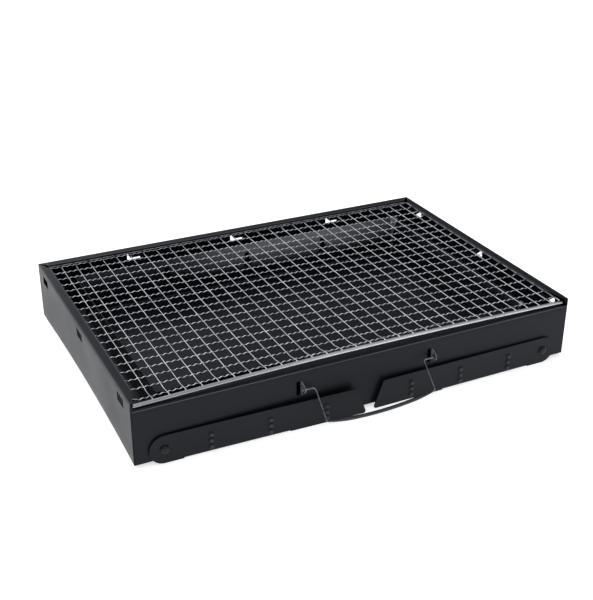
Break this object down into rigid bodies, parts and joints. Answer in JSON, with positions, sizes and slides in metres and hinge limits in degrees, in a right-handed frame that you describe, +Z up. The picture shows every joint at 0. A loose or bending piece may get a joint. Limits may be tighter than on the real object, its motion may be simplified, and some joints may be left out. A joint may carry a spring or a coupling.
{
  "type": "folding charcoal grill",
  "caption": "Low rectangular charcoal grill folded flat, with a slide-in woven wire cooking mesh, fold-out strap legs and a small wire carrying handle.",
  "frame": {"origin": "under the middle of the whole object, on the surface that the folded leg frames lie on", "axes": "+X along the long side, -Y is the front with the handle, +Z up"},
  "size_m": [0.43, 0.3302, 0.0617],
  "materials": {
    "black_paint": "satin black heat-resistant paint",
    "pan_steel": "semi-gloss black paint, a little duller than the outside",
    "mesh_wire": "bright galvanised wire",
    "bar_steel": "bright plated bar",
    "handle_steel": "plain drawn steel wire",
    "grip_sleeve": "smooth black sleeve",
    "rivet_steel": "blackened steel with a slight shine"
  },
  "bodies": {
    "grill_body": {"body_shell": "black_paint", "charcoal_pan": "pan_steel", "rivet_front_left": "rivet_steel", "rivet_front_right": "rivet_steel", "rivet_back_left": "rivet_steel", "rivet_back_right": "rivet_steel", "washer_front_left": "rivet_steel", "washer_front_right": "rivet_steel", "washer_back_left": "rivet_steel", "washer_back_right": "rivet_steel"},
    "left_leg": {"left_leg_frame": "black_paint"},
    "right_leg": {"right_leg_frame": "black_paint"},
    "cooking_mesh": {"mesh_bar_with_long_wires": "bar_steel", "mesh_frame_rod": "mesh_wire", "mesh_cross_wire_01": "mesh_wire", "mesh_cross_wire_02": "mesh_wire", "mesh_cross_wire_03": "mesh_wire", "mesh_cross_wire_04": "mesh_wire", "mesh_cross_wire_05": "mesh_wire", "mesh_cross_wire_06": "mesh_wire", "mesh_cross_wire_07": "mesh_wire", "mesh_cross_wire_08": "mesh_wire", "mesh_cross_wire_09": "mesh_wire", "mesh_cross_wire_10": "mesh_wire", "mesh_cross_wire_11": "mesh_wire", "mesh_cross_wire_12": "mesh_wire", "mesh_cross_wire_13": "mesh_wire", "mesh_cross_wire_14": "mesh_wire", "mesh_cross_wire_15": "mesh_wire", "mesh_cross_wire_16": "mesh_wire", "mesh_cross_wire_17": "mesh_wire", "mesh_cross_wire_18": "mesh_wire", "mesh_cross_wire_19": "mesh_wire", "mesh_cross_wire_20": "mesh_wire"},
    "carry_handle": {"handle_wire": "handle_steel", "handle_grip": "grip_sleeve"}
  },
  "joints": [
    {"name": "left_leg_fold", "type": "hinge", "parent": "grill_body", "child": "left_leg", "pos_m": [-0.189, 0.01235, 0.01325], "axis": [0, 1, 0], "range_deg": [0, 110]},
    {"name": "right_leg_fold", "type": "hinge", "parent": "grill_body", "child": "right_leg", "pos_m": [0.189, 0.01235, 0.01325], "axis": [0, -1, 0], "range_deg": [0, 110]},
    {"name": "handle_swing", "type": "hinge", "parent": "grill_body", "child": "carry_handle", "pos_m": [0, -0.13785, 0.03755], "axis": [-1, 0, 0], "range_deg": [-30, 66]},
    {"name": "mesh_slide", "type": "slide", "parent": "grill_body", "child": "cooking_mesh", "axis": [0, -1, 0], "range_m": [0, 0.285]}
  ]
}
